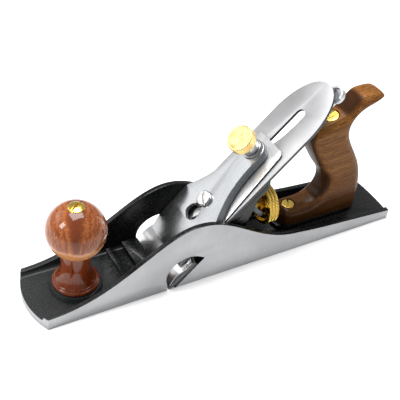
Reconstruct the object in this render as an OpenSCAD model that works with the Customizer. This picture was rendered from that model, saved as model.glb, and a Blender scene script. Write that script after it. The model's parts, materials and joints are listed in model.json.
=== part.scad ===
// Bench rabbet plane: a cast body with arched, open cheeks, a T-shaped full-width iron
// on a sliding frog, a screw-down lever cap, a ball front knob and a wooden rear tote.
// +X points to the toe, +Y to the plane's left side, +Z up. The sole lies on z = 0.

/* [Body] */
// Overall length of the sole
body_l = 330; // [328:1:332]
// Width of the sole across the cheeks
body_w = 57.2; // [57:0.1:57.4]
// Thickness of the sole casting
floor_t = 6; // [5.5:0.1:6]
// Thickness of each cheek
cheek_t = 4; // [3.6:0.1:4.2]
// Height of the cheeks at their crest
cheek_h = 58.2; // [57:0.1:59]
// Front edge of the mouth
mouth_x = 60; // [60:0.1:61]

/* [Iron and cap] */
// Slope of the bed
bed_angle = 45; // [45:1:45]
// Where the bed plane meets the sole
bed_x = 54.5; // [54.4:0.1:54.6]
// Thickness of the iron
iron_t = 3; // [3:0.1:3]
// Width of the iron above its foot
iron_w = 46; // [44:0.5:46]
// Top end of the iron, up the bed
iron_top = 196.5; // [190:0.5:198]
// Thickness of the chipbreaker
breaker_t = 2.5; // [2.2:0.1:2.5]
// Height of the lever cap's face above the bed
cap_face = 14.5; // [14:0.1:14.5]
// Radius of the brass thumbscrew's head
thumb_r = 11; // [9:0.5:12]

/* [Depth adjuster] */
// Radius of the depth wheel
wheel_r = 18; // [15:0.5:18]
// Height of the wheel's axis above the sole
wheel_z = 35; // [35:1:35]
// Lateral lever's angle off the centre line
lever_set = 4.8; // [0:0.1:5]

/* [Knob and tote] */
// Centre of the front knob
knob_x = 124.5; // [122:0.5:126]
// Radius of the knob's ball
ball_r = 22.5; // [21:0.5:22.5]
// Height of the ball's centre
ball_z = 62.6; // [62:0.1:64]
// Thickness of the tote
tote_w = 23; // [20:0.5:24]

/* [Hidden] */
$fn = 48;

eps = 0.01;
run = 0.05;           // running clearance on a radius
toe_r = 58.3;         // plan radius of the toe
heel_r = 210;         // plan radius of the heel
side_y = body_w / 2;
cheek_in = side_y - cheek_t;

// Floor features
pad_z = 8;            // frog seat
pad_w = 44;
front_pad_z = 11;     // thick land in front of the mouth
boss_r = 19;
boss_z = 10.5;
rest_z = 10;          // top of the tote's pedestal
bed_gap = 1.3;        // the body's own bed lies this far behind the iron
lug_x = -15;
lug_l = 6;
adj_z = 11;           // frog adjusting screw's axis

// Places up the bed, from the point where the bed meets the sole
foot_s = 28;          // shoulders of the iron's T
screw_s = 48;         // chipbreaker screw
cap_screw_s = 67;
yoke_s = 86;
roller_s = 101;
pivot_s = 112;
thumb_s = 120.5;
slot_end_s = 169;
frog_top_s = 118;
breaker_top_s = 134.5;
cap_toe_s = 17;
cap_end_s = 129.5;
pad_end_s = 194.5;    // centre of the lateral lever's thumb pad

foot_w = body_w - 0.4;
slot_r = 4.2;         // half width of the iron's slot
cap_under = 6.6;      // underside of the lever cap above the bed
hump_s = 9;
hump_l = 11;
hump_h = 2.5;

frog_w = 44;
frog_t = 7;           // face plate
web_t = 4;
frog_floor_z = 14;
seat_x = 20;          // frog screws
seat_y = 12;

cap_screw_low = -8.5; // lower end of the lever cap screw
pin_off = -12;        // yoke pin below the bed plane
groove_x = -31.25;    // yoke's groove in the wheel's hub
groove_w = 3.6;
hub_r = 9;
neck_r = 6.5;
stud_r = 3.5;
rod_r = 3;

// Tote rod, from the sole to the nut
rod_low = [-131, 10];
rod_high = [-92, 111];
rod_lean = atan2(rod_high[0] - rod_low[0], rod_high[1] - rod_low[1]);
rod_len = norm(rod_high - rod_low);
toe_screw_x = -69;
nut_r = 6.2;          // brass nut on the knob

function bez(a, b, c, d, n) =
    [for (i = [0:n - 1]) let (t = i / n, s = 1 - t)
        s * s * s * a + 3 * s * s * t * b + 3 * s * t * t * c + t * t * t * d];

// Point at s up the bed and o above it, as [x, z]
function bed_pt(s, o) = [
    bed_x - s * cos(bed_angle) + o * sin(bed_angle),
    s * sin(bed_angle) + o * cos(bed_angle)
];

// Height of the chipbreaker's hump above its flat
function hump(s) = abs(s - hump_s) < hump_l ? hump_h * (1 + cos(180 * (s - hump_s) / hump_l)) / 2 : 0;

// Local x runs up the bed, z stands off it
module on_bed() {
    translate([bed_x, 0, 0]) rotate([0, bed_angle, 0]) mirror([1, 0, 0]) children();
}

// A side profile in x and z, w thick and centred on y
module side_profile(w, y = 0) {
    translate([0, y + w / 2, 0]) rotate([90, 0, 0]) linear_extrude(w) children();
}

module slot_2d(x0, x1, r) {
    for (x = [x0, x1]) translate([x, 0]) circle(r);
    translate([x0, -r]) square([x1 - x0, 2 * r]);
}

module both_sides() {
    for (k = [0, 1]) mirror([0, k, 0]) children();
}

// A round slotted screw head standing on z = 0
module slotted_head(r, h, slot_w = 1.2, slot_d = 1.2) {
    difference() {
        union() {
            cylinder(r = r, h = h - 0.6);
            translate([0, 0, h - 0.6]) cylinder(r1 = r, r2 = r - 0.6, h = 0.6);
        }
        translate([-r - 1, -slot_w / 2, h - slot_d]) cube([2 * r + 2, slot_w, slot_d + 1]);
    }
}

// ---- body ----

module plan_outline() {
    toe_c = body_l / 2 - toe_r;
    intersection() {
        translate([-body_l / 2, -side_y]) square([body_l, body_w]);
        union() {
            translate([-body_l / 2, -side_y]) square([toe_c + body_l / 2, body_w]);
            translate([toe_c, 0]) circle(toe_r, $fn = 240);
        }
        translate([heel_r - body_l / 2, 0]) circle(heel_r, $fn = 360);
    }
}

module cheek_outline() {
    crest = [37, cheek_h];
    dip = [-62, 18];
    toe = [158, 10];
    heel = [-160, 8.8];
    polygon(concat(
        [[body_l / 2, 0], [body_l / 2, toe[1]]],
        bez(toe, [100, toe[1]], [72, cheek_h], crest, 28),
        bez(crest, [4, cheek_h], [-20, 21], dip, 24),
        bez(dip, [-90, 13.5], [-125, 12.5], heel, 8),
        [[-body_l / 2, heel[1]], [-body_l / 2, 0]]
    ));
}

// The arched opening in each cheek, with the sloping bed as its rear edge
module escapement_outline() {
    back_x = bed_x - bed_gap;
    tip_z = 24;
    polygon(concat(
        [[back_x + 1, -1], [mouth_x, -1], [mouth_x + 0.8, floor_t]],
        bez([mouth_x + 2, 12], [mouth_x + 2.5, 22], [53, 29.8], [43.5, 29.8], 14),
        bez([43.5, 29.8], [38, 29.8], [33.5, 27], [back_x - tip_z, tip_z], 8),
        [[back_x - tip_z, tip_z]]
    ));
}

module mouth_outline() {
    back_x = bed_x - bed_gap;
    top_z = front_pad_z + 1;
    polygon([
        [back_x + 1, -1], [mouth_x, -1], [mouth_x + 0.8, floor_t],
        [mouth_x + 1.5, top_z], [back_x - top_z, top_z]
    ]);
}

module knob_boss() {
    translate([knob_x, 0, floor_t - eps]) cylinder(r1 = boss_r + 1.5, r2 = boss_r, h = boss_z - floor_t, $fn = 96);
}

module tote_rest() {
    x0 = -128.5;
    x1 = -66;
    r = tote_w / 2 + 0.8;
    translate([0, 0, floor_t - eps]) linear_extrude(rest_z - floor_t) slot_2d(x0, x1, r);
}

module floor_fillets() {
    r = 3.5;
    both_sides() translate([-body_l / 2, cheek_in + eps, floor_t - eps])
        rotate([90, 0, 90]) linear_extrude(body_l) difference() {
            translate([-r, 0]) square(r);
            translate([-r, r]) circle(r);
        }
}

module body() {
    color("#26282a") difference() {
        union() {
            linear_extrude(floor_t) plan_outline();
            intersection() {
                linear_extrude(cheek_h + 1) plan_outline();
                union() {
                    both_sides() side_profile(cheek_t, side_y - cheek_t / 2) cheek_outline();
                    floor_fillets();
                }
            }
            knob_boss();
            tote_rest();
            // Land in front of the mouth and a low rib before it
            translate([mouth_x, -cheek_in, floor_t - eps]) cube([15, 2 * cheek_in, front_pad_z - floor_t]);
            translate([85.5, -cheek_in, floor_t - eps]) cube([3.5, 2 * cheek_in, 2.5]);
            // Frog seat and the lug of its adjusting screw
            translate([-4, -pad_w / 2, floor_t - eps]) cube([51, pad_w, pad_z - floor_t]);
            translate([lug_x, -6, floor_t - eps]) cube([lug_l, 12, adj_z + 5 - floor_t]);
            // Ribs on the floor behind the frog
            both_sides() translate([-54, 12, floor_t - eps]) cube([38, 2.5, 3]);
        }
        both_sides() side_profile(cheek_t + 1, side_y - cheek_t / 2) escapement_outline();
        side_profile(body_w + 2) mouth_outline();
        both_sides() translate([seat_x, seat_y, 2.5]) cylinder(r = rod_r, h = 20);
        translate([lug_x - 1, 0, adj_z]) rotate([0, 90, 0]) cylinder(r = 2.2 + run, h = lug_l + 2);
        translate([knob_x, 0, 3]) cylinder(r = rod_r, h = 20);
        translate([toe_screw_x, 0, 3]) cylinder(r = 2.2, h = 20);
        translate([rod_low[0], 0, rod_low[1]]) rotate([0, rod_lean, 0])
            translate([0, 0, -7]) cylinder(r = rod_r, h = 20);
    }
}

// ---- knob ----

module front_knob() {
    neck = 11.5;
    join_z = ball_z - sqrt(ball_r * ball_r - neck * neck);
    join_a = asin((join_z - ball_z) / ball_r);
    color("#9a4a24") translate([knob_x, 0, 0]) difference() {
        rotate_extrude($fn = 96) polygon(concat(
            [[0, boss_z], [16.8, boss_z]],
            [for (a = [-60:20:90]) [16.4 + 1.6 * cos(a), boss_z + 2 + 1.6 * sin(a)]],
            [[16.4, boss_z + 4.2], [15.8, boss_z + 5]],
            bez([15.4, boss_z + 5.6], [13.5, boss_z + 8.5], [neck, boss_z + 12], [neck - 0.4, boss_z + 21], 10),
            [for (i = [0:30]) let (a = join_a + (90 - join_a) * i / 30)
                [max(ball_r * cos(a), 0), ball_z + ball_r * sin(a)]]
        ));
        translate([0, 0, boss_z - 1]) cylinder(r = rod_r + 0.3, h = 80);
        translate([0, 0, ball_z + ball_r - 3]) cylinder(r = nut_r + 0.1, h = 10);
    }
}

module knob_stud() {
    color("silver") translate([knob_x, 0, 3]) cylinder(r = rod_r, h = ball_z + ball_r - 4 - 3);
}

module knob_nut() {
    top = ball_z + ball_r;
    color("#d9a520") translate([knob_x, 0, 0]) difference() {
        union() {
            translate([0, 0, top - 3]) cylinder(r = nut_r, h = 2.2);
            intersection() {
                translate([0, 0, top - 0.8]) cylinder(r = nut_r, h = 3);
                translate([0, 0, top + 1 - 14]) sphere(14, $fn = 96);
            }
        }
        translate([0, 0, top - 6]) cylinder(r = rod_r, h = 4.5);
        rotate([0, 0, 35]) translate([-8, -0.8, top - 0.7]) cube([16, 1.6, 4]);
    }
}

// ---- tote ----

module tote_outline() {
    polygon(concat(
        bez([-58.5, rest_z], [-57.5, 17], [-59, 24.5], [-64, 25], 8),
        bez([-64, 25], [-69, 25.3], [-74, 25.1], [-79, 25.3], 2),
        bez([-79, 25.3], [-90, 25.8], [-98, 32], [-98.5, 43], 10),
        bez([-98.5, 43], [-99, 52], [-91, 58], [-86, 66], 8),
        bez([-86, 66], [-81, 74], [-74, 84], [-70.5, 93], 6),
        bez([-70.5, 93], [-68.5, 99], [-72, 104.5], [-79, 106], 7),
        bez([-79, 106], [-86, 108], [-93, 110], [-100, 112.5], 4),
        bez([-100, 112.5], [-107, 115.5], [-110.5, 127], [-119, 127.5], 8),
        bez([-119, 127.5], [-127, 128], [-135, 128], [-137.5, 124.5], 8),
        bez([-137.5, 124.5], [-138.5, 120.5], [-130, 117.5], [-123, 115], 7),
        bez([-123, 115], [-114, 111.5], [-109.5, 104.5], [-110, 96], 8),
        bez([-110, 96], [-110.5, 85], [-122.5, 73], [-130, 57], 8),
        bez([-130, 57], [-135, 46], [-137.5, 35], [-138, 22], 6),
        [[-138, 22], [-138.5, rest_z]]
    ));
}

// The full outline in the middle, with stepped-in layers that round off its edges
module tote() {
    color("#7d4b25") difference() {
        union() {
            side_profile(tote_w - 7) tote_outline();
            side_profile(tote_w - 3) offset(delta = -1.2) tote_outline();
            side_profile(tote_w) offset(delta = -3.2) tote_outline();
            // Square-edged foot
            translate([-137, -tote_w / 2, rest_z]) cube([74, tote_w, 6]);
        }
        translate([rod_low[0], 0, rod_low[1]]) rotate([0, rod_lean, 0]) {
            translate([0, 0, -20]) cylinder(r = rod_r + 0.3, h = rod_len + 30);
            translate([0, 0, rod_len - 6]) cylinder(r = 6.9, h = 20);
        }
        translate([toe_screw_x, 0, 0]) cylinder(r = 2.5, h = 40);
        translate([toe_screw_x, 0, 22]) cylinder(r = 6.3, h = 20);
    }
}

module tote_rod() {
    color("silver") translate([rod_low[0], 0, rod_low[1]]) rotate([0, rod_lean, 0])
        translate([0, 0, -6]) cylinder(r = rod_r, h = rod_len - 2);
}

module tote_nut() {
    color("#d9a520") translate([rod_low[0], 0, rod_low[1]]) rotate([0, rod_lean, 0])
        translate([0, 0, rod_len - 5.8]) difference() {
            slotted_head(6.6, 4.4, 1.4, 1.4);
            translate([0, 0, -1]) cylinder(r = rod_r, h = 3);
        }
}

module tote_screw() {
    color("#d9a520") translate([toe_screw_x, 0, 0]) {
        translate([0, 0, 3]) cylinder(r = 2.2, h = 19.1);
        translate([0, 0, 22.05]) rotate([0, 0, 60]) slotted_head(5.9, 2.6, 1.3, 1.3);
    }
}

// ---- frog ----

module frog_web() {
    polygon([bed_pt(8, -3), [0, pad_z - 4], [-6, 20], bed_pt(100, -6), bed_pt(100, -3)]);
}

module frog() {
    ear_w = 4.5;
    color("#303335") difference() {
        union() {
            on_bed() translate([8, -frog_w / 2, -frog_t]) cube([frog_top_s - 8, frog_w, frog_t]);
            both_sides() side_profile(web_t, frog_w / 2 - 1 - web_t / 2) frog_web();
            translate([0, 0.5 - frog_w / 2, pad_z - 1]) cube([40, frog_w - 1, frog_floor_z + 1 - pad_z]);
            // Bridge that holds the depth stud
            translate([-8, -frog_w / 2 + 1, wheel_z - 7]) cube([13, frog_w - 2, 14]);
            // Rear block that holds the clip
            translate([0, -7, frog_floor_z - eps]) cube([6, 14, 7]);
            // Ears of the yoke pin
            both_sides() on_bed() translate([yoke_s - 6, 7.5, pin_off - 5]) cube([12, ear_w, 5 - pin_off - frog_t + 1]);
            // Boss of the lever cap screw
            on_bed() translate([cap_screw_s, 0, cap_screw_low]) cylinder(r = 7, h = 6);
        }
        translate([-40, -frog_w, pad_z - 30]) cube([120, 2 * frog_w, 30]);
        both_sides() translate([seat_x, seat_y, 0]) linear_extrude(frog_floor_z + 1) slot_2d(-1.2, 1.2, rod_r + 0.2);
        // Rounded top corners
        both_sides() on_bed() translate([frog_top_s, frog_w / 2, -frog_t - 1]) rotate([0, 0, 45])
            cube([14, 14, 3 * frog_t], center = true);
        on_bed() {
            translate([screw_s - 11, -8, -4]) cube([22, 16, 5]);
            translate([cap_screw_s, 0, cap_screw_low - 1]) cylinder(r = rod_r, h = 30);
            translate([yoke_s - 5, -4, -frog_t - 1]) cube([10, 8, frog_t + 2]);
            translate([94, -14, -2.6]) cube([frog_top_s, 28, 4]);
            translate([pivot_s, 0, -20]) cylinder(r = 2, h = 30);
            translate([yoke_s, 0, pin_off]) rotate([90, 0, 0]) cylinder(r = 2, h = 30, center = true);
        }
        translate([-20, 0, wheel_z]) rotate([0, 90, 0]) cylinder(r = stud_r + run, h = 19);
        translate([-1, 0, adj_z]) rotate([0, 90, 0]) cylinder(r = 2.4, h = 6);
        translate([-1, 0, 18]) rotate([0, 90, 0]) cylinder(r = 1.5, h = 6);
    }
}

module frog_screws() {
    color("silver") both_sides() translate([seat_x, seat_y, 0]) {
        translate([0, 0, 2.5]) cylinder(r = rod_r, h = frog_floor_z + 1.3 - 2.5);
        translate([0, 0, frog_floor_z + 1.25]) slotted_head(4.2, 2.6);
    }
}

module frog_washers() {
    color("silver") both_sides() translate([seat_x, seat_y, frog_floor_z + 0.05]) difference() {
        cylinder(r = 4.8, h = 1.2);
        translate([0, 0, -1]) cylinder(r = rod_r, h = 4);
    }
}

module frog_adjusting_screw() {
    color("silver") translate([0, 0, adj_z]) rotate([0, 90, 0]) {
        translate([0, 0, -20]) cylinder(r = 2.2, h = 17.7);
        translate([0, 0, -2.4]) cylinder(r = 1.5, h = 2.6);
        translate([0, 0, 0.1]) cylinder(r = 2.2, h = 3);
        translate([0, 0, -20]) mirror([0, 0, 1]) slotted_head(4, 3.2);
    }
}

module frog_clip() {
    color("silver") difference() {
        translate([-2.1, -4.5, 8.6]) cube([2.1, 9, 12.4]);
        translate([-3, 0, adj_z]) rotate([0, 90, 0]) cylinder(r = 1.7, h = 6);
        translate([-3, -1.7, 5]) cube([6, 3.4, adj_z - 5]);
        translate([-3, 0, 18]) rotate([0, 90, 0]) cylinder(r = 1.5, h = 6);
    }
}

module frog_clip_screw() {
    color("silver") translate([-2.1, 0, 18]) rotate([0, 90, 0]) {
        cylinder(r = 1.5, h = 6);
        mirror([0, 0, 1]) slotted_head(2.8, 1.8, 0.8, 0.8);
    }
}

// ---- iron, chipbreaker and lever cap ----

module iron_outline() {
    shoulder = iron_w / 2;
    crown = bez([156, shoulder], [173, shoulder], [iron_top, 16], [iron_top, 0], 16);
    half = concat(
        [[-4, foot_w / 2], [foot_s - 1, foot_w / 2], [foot_s, shoulder + 1], [foot_s + 1, shoulder]],
        crown
    );
    other = [for (i = [len(half) - 1:-1:0]) [half[i][0], -half[i][1]]];
    polygon(concat(half, [[iron_top, 0]], other));
}

module iron() {
    tip_s = -iron_t + 0.1;
    bevel = 25;
    color("#c9cbcc") on_bed() difference() {
        intersection() {
            linear_extrude(iron_t) iron_outline();
            side_profile(foot_w + 2)
                polygon([[tip_s, iron_t], [tip_s + iron_t / tan(bevel), 0], [iron_top + 1, 0], [iron_top + 1, iron_t]]);
        }
        translate([0, 0, -1]) linear_extrude(iron_t + 2) slot_2d(36, slot_end_s - slot_r, slot_r);
        translate([36, 0, -1]) cylinder(r = 6.6, h = iron_t + 2);
    }
}

module breaker_outline() {
    w = iron_w / 2 - 0.2;
    top_w = w - 5.3;
    r = 5;
    half = concat(
        [[-1.5, foot_w / 2], [foot_s - 2, foot_w / 2], [foot_s - 1, w + 1], [foot_s, w], [62, w]],
        [for (a = [85:-17:0]) [breaker_top_s - r + r * cos(a), top_w - r + r * sin(a)]]
    );
    other = [for (i = [len(half) - 1:-1:0]) [half[i][0], -half[i][1]]];
    polygon(concat(half, other));
}

module breaker_profile() {
    lower = [for (s = [-0.5:1:20.5]) [s, iron_t + hump(s)]];
    upper = [for (s = [20.5:-1:0.5]) [s, iron_t + breaker_t + hump(s)]];
    polygon(concat(lower, [[breaker_top_s, iron_t], [breaker_top_s, iron_t + breaker_t]], upper));
}

module chipbreaker() {
    color("#dcdddd") on_bed() difference() {
        intersection() {
            linear_extrude(20) breaker_outline();
            side_profile(foot_w + 2) breaker_profile();
        }
        translate([screw_s, 0, 0]) cylinder(r = 3 + run, h = 20);
        linear_extrude(20) slot_2d(cap_screw_s - 2.5, cap_screw_s + 3.5, slot_r);
        translate([yoke_s - 2.5, -4.2, 0]) cube([5, 8.4, 20]);
    }
}

module chipbreaker_screw() {
    color("silver") on_bed() translate([screw_s, 0, 0]) {
        translate([0, 0, -0.1]) cylinder(r = 3, h = iron_t + breaker_t);
        translate([0, 0, -run]) mirror([0, 0, 1]) slotted_head(6.2, 3);
    }
}

module cap_outline() {
    wide = cheek_in - 0.6;
    narrow = 10;
    half = concat(
        [[cap_toe_s, wide - 1], [cap_toe_s + 1, wide]],
        bez([62, wide], [76, 17], [86, narrow], [118, narrow], 16),
        [for (a = [80:-16:0]) [cap_end_s - narrow + narrow * cos(a), narrow * sin(a)]]
    );
    other = [for (i = [len(half) - 1:-1:0]) [half[i][0], -half[i][1]]];
    polygon(concat(half, other));
}

module cap_profile() {
    polygon(concat(
        [[cap_end_s + 1, cap_under], [cap_toe_s - 1, cap_under]],
        bez([cap_toe_s - 1, 8], [cap_toe_s + 6, 11.5], [cap_toe_s + 12, cap_face - 0.4], [cap_toe_s + 28, cap_face], 8),
        [[cap_toe_s + 28, cap_face], [cap_end_s - 8, cap_face], [cap_end_s + 1, cap_face - 1.5]]
    ));
}

module lever_cap() {
    color("#c4c6c8") on_bed() difference() {
        union() {
            intersection() {
                linear_extrude(30) cap_outline();
                side_profile(body_w) cap_profile();
            }
            translate([thumb_s, 0, cap_face - 1]) cylinder(r = 8.6, h = 4.4);
        }
        // Hollow underside
        translate([30, -19, 0]) cube([28, 38, cap_face - 4]);
        translate([80, -7, 0]) cube([28, 14, cap_face - 4]);
        linear_extrude(30) slot_2d(cap_screw_s - 14, cap_screw_s, rod_r + 0.3);
        translate([cap_screw_s - 14, 0, 0]) cylinder(r = 6.8, h = 30);
        translate([thumb_s, 0, 0]) cylinder(r = stud_r + run, h = 30);
    }
}

module lever_cap_screw() {
    color("silver") on_bed() translate([cap_screw_s, 0, 0]) {
        translate([0, 0, cap_screw_low]) cylinder(r = rod_r, h = cap_face + 0.2 - cap_screw_low);
        translate([0, 0, cap_face + 0.1]) rotate([0, 0, 121]) slotted_head(6.3, 2.6, 1.4, 1.4);
    }
}

module thumbscrew_shank() {
    color("silver") on_bed() translate([thumb_s, 0, 0]) {
        translate([0, 0, iron_t + breaker_t + 0.1]) cylinder(r = stud_r, h = 30);
        translate([0, 0, cap_face + 4]) cylinder(r = 7.4, h = 9);
    }
}

module thumbscrew_head() {
    z0 = cap_face + 13.1;
    color("#dba820") on_bed() translate([thumb_s, 0, 0]) difference() {
        union() {
            translate([0, 0, z0]) cylinder(r1 = thumb_r - 1, r2 = thumb_r, h = 1);
            translate([0, 0, z0 + 1]) cylinder(r = thumb_r, h = 6);
            translate([0, 0, z0 + 7]) cylinder(r1 = thumb_r, r2 = thumb_r - 1, h = 1);
        }
        translate([0, 0, z0 - 1]) cylinder(r = stud_r + run, h = 9.1);
    }
}

// ---- lateral adjuster ----

module lever_profile() {
    t = 1.8;
    polygon([
        [roller_s - 5, -2.5], [124, -2.5], [140, -6], [pad_end_s, -6],
        [pad_end_s, t - 6], [140.4, t - 6], [124.4, t - 2.5], [roller_s - 5, t - 2.5]
    ]);
}

module lateral_lever() {
    pad_r = 7;
    color("#b9bbbd") on_bed() translate([pivot_s, 0, 0]) rotate([0, 0, lever_set]) translate([-pivot_s, 0, 0])
        difference() {
            union() {
                side_profile(10) lever_profile();
                translate([pad_end_s, 0, -6]) cylinder(r = pad_r, h = 1.8);
                // Upturned rim for the thumb
                intersection() {
                    translate([pad_end_s, 0, -6]) cylinder(r = pad_r, h = 5);
                    translate([pad_end_s, -pad_r, -6]) cube([2 * pad_r, 2 * pad_r, 6]);
                }
                translate([roller_s, 0, -1]) cylinder(r = 1.5, h = 3.8);
            }
            translate([pad_end_s, 0, -4.2]) cylinder(r = pad_r - 1.8, h = 8);
            translate([pivot_s, 0, -10]) cylinder(r = 2 + run, h = 20);
        }
}

module lateral_pivot() {
    color("silver") on_bed() translate([pivot_s, 0, 0]) {
        translate([0, 0, -8]) cylinder(r = 2, h = 7.4);
        translate([0, 0, -0.65]) cylinder(r = 3.6, h = 0.5);
    }
}

module lateral_roller() {
    color("silver") on_bed() translate([pivot_s, 0, 0]) rotate([0, 0, lever_set])
        translate([roller_s - pivot_s, 0, 0]) difference() {
            translate([0, 0, -0.6]) cylinder(r = 3, h = 3.4);
            translate([0, 0, -2]) cylinder(r = 1.5 + run, h = 8);
        }
}

// ---- depth adjuster ----

module wheel_profile() {
    rim0 = groove_x - 14.75;
    rim1 = rim0 + 9;
    g0 = groove_x - groove_w / 2;
    g1 = groove_x + groove_w / 2;
    bore = stud_r + run;
    ridge = 0.9;
    polygon(concat(
        [[bore, rim0 + 3], [wheel_r - 4, rim0 + 3], [wheel_r - 3, rim0]],
        [for (i = [0:2]) each [
            [wheel_r - ridge, rim0 + 3 * i],
            [wheel_r, rim0 + 3 * i + 0.7],
            [wheel_r, rim0 + 3 * i + 2.3],
            [wheel_r - ridge, rim0 + 3 * i + 3]
        ]],
        [[wheel_r - 2.5, rim1], [wheel_r - 4, rim0 + 6], [hub_r, rim0 + 6], [hub_r, g0],
         [neck_r, g0], [neck_r, g1], [hub_r, g1], [hub_r, g1 + 2.5], [bore, g1 + 2.5]]
    ));
}

module depth_wheel() {
    color("#d9a41e") translate([0, 0, wheel_z]) rotate([0, 90, 0]) rotate_extrude($fn = 96) wheel_profile();
}

module depth_stud() {
    color("silver") translate([-50, 0, wheel_z]) rotate([0, 90, 0]) cylinder(r = stud_r, h = 48.5);
}

// Pin, arms and nose of the yoke, laid out along the line from the pin to the groove
module yoke() {
    pin = bed_pt(yoke_s, pin_off);
    reach = norm([groove_x, wheel_z] - pin);
    slant = atan2(pin[0] - groove_x, pin[1] - wheel_z);
    arm_y = hub_r + 0.4;
    arm_w = 2.6;
    color("#8d8f90") difference() {
        union() {
            translate([pin[0], 0, pin[1]]) rotate([90, 0, 0]) cylinder(r = 4, h = 14.4, center = true);
            on_bed() {
                translate([yoke_s - 2, -3.2, pin_off]) cube([4, 6.4, -pin_off + 4]);
            }
            translate([pin[0], 0, pin[1]]) rotate([0, slant, 0]) {
                translate([-2, -3.2, -11]) cube([4, 6.4, 11]);
                translate([-2.2, -arm_y - arm_w, -13]) cube([4.4, 2 * (arm_y + arm_w), 4]);
                both_sides() translate([-1.9, arm_y, -reach]) cube([3.8, arm_w, reach - 9.5]);
            }
            both_sides() translate([groove_x, arm_y, wheel_z]) rotate([-90, 0, 0]) {
                translate([0, 0, -0.15]) cylinder(r = 2.3, h = arm_w + 0.4);
                translate([0, 0, neck_r + 0.3 - arm_y]) cylinder(r = 1.5, h = 3);
            }
        }
        translate([pin[0], 0, pin[1]]) rotate([90, 0, 0]) cylinder(r = 2 + run, h = 30, center = true);
    }
}

module yoke_pin() {
    pin = bed_pt(yoke_s, pin_off);
    color("silver") translate([pin[0], 0, pin[1]]) rotate([90, 0, 0]) cylinder(r = 2, h = 23.6, center = true);
}

body();
front_knob();
knob_stud();
knob_nut();
tote();
tote_rod();
tote_nut();
tote_screw();
frog();
frog_screws();
frog_washers();
frog_adjusting_screw();
frog_clip();
frog_clip_screw();
iron();
chipbreaker();
chipbreaker_screw();
lever_cap();
lever_cap_screw();
thumbscrew_head();
thumbscrew_shank();
lateral_lever();
lateral_pivot();
lateral_roller();
depth_wheel();
depth_stud();
yoke();
yoke_pin();
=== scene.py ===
"""Looks of a bench rabbet plane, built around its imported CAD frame."""

import json
import math

import bmesh
import bpy
import numpy as np
from mathutils import Matrix, Vector
from mathutils.geometry import delaunay_2d_cdt


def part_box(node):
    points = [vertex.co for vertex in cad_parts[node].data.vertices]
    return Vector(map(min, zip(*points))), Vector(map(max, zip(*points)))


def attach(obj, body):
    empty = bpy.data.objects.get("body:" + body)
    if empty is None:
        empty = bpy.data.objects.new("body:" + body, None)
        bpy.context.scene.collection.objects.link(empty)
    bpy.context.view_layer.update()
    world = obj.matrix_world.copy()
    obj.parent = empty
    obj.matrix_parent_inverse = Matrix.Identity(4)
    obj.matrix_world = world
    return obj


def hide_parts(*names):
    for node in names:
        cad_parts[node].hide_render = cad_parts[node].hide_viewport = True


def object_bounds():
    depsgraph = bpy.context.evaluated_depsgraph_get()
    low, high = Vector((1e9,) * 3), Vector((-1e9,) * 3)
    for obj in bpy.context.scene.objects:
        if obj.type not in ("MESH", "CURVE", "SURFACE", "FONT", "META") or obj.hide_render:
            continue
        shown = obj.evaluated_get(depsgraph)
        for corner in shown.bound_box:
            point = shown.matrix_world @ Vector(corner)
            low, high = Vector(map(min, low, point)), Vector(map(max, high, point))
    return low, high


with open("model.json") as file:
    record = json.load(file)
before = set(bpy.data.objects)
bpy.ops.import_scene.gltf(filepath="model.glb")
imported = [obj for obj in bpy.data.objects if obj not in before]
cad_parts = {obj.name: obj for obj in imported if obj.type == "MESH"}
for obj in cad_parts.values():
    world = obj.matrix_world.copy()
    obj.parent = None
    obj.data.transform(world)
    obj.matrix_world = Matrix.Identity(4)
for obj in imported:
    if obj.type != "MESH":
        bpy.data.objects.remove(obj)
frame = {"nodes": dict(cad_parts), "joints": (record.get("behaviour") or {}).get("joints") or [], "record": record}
cad_low, cad_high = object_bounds()

MM = 0.001
NODES = frame["nodes"]
BODIES = frame["record"]["behaviour"]["bodies"]
BODY_OF = {node: body for body, members in BODIES.items() for node in members}
JOINTS = {joint["name"]: joint for joint in frame["joints"]}
SMOOTH_ANGLE = math.radians(32)
BEVEL_ANGLE = math.radians(30)

# The bed, in metres
BED_ANGLE = math.radians(45)
BED_FOOT = Vector((0.0545, 0, 0))       # where the bed plane meets the sole
BED_UP = Vector((-math.cos(BED_ANGLE), 0, math.sin(BED_ANGLE)))
BED_OFF = Vector((math.cos(BED_ANGLE), 0, math.sin(BED_ANGLE)))
ALONG_BED = (0.0005, 0.0005, 0.02)      # size of the brushing that runs up the bed
ACROSS_BED = (0.0005, 0.018, 0.0005)    # size of the brushing that runs across it
CAP_SHADED_WALL_FROM = 0.022                   # the lever cap's walls get the dark finish past this point up the bed; the dark is partly painted shade

# The casting, in metres
TOE_RADIUS = 0.0583                     # plan radius of the toe
DULL_BEYOND = 0.098                     # the floor's japan is drier past this point

# The knob; lengths in millimetres
NECK_RADIUS = 11.5
NUT_RECESS_RADIUS = 6.3
NUT_RECESS_DEPTH = 1.75
FIGURE_DROP = 4                         # the pointed figure starts this far below the ball's centre
FIGURE_TURN = math.radians(67)          # the way the pointed figure faces

# The brass parts; lengths in metres
STUD_BORE = 0.00355
NUT_DOME_RADIUS = 0.014
NUT_SLOT = (0.02, 0.0016, 0.0034)       # length, width and twice the depth
NUT_SLOT_TURN = math.radians(35)
THUMBSCREW_TEETH = 56
WHEEL_TEETH = 90


# ---- Small helpers ----

def bezier(a, b, c, d, count):
    """count points from a towards d, without d itself."""
    points = []
    for i in range(count):
        t = i / count
        s = 1 - t
        points.append(tuple(s**3 * a[k] + 3 * s * s * t * b[k] + 3 * s * t * t * c[k] + t**3 * d[k]
                            for k in range(2)))
    return points


def arc(centre, radius, start, end, count):
    """count + 1 points on an arc, angles in degrees."""
    angles = [math.radians(start + (end - start) * i / count) for i in range(count + 1)]
    return [(centre[0] + radius * math.cos(a), centre[1] + radius * math.sin(a)) for a in angles]


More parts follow.
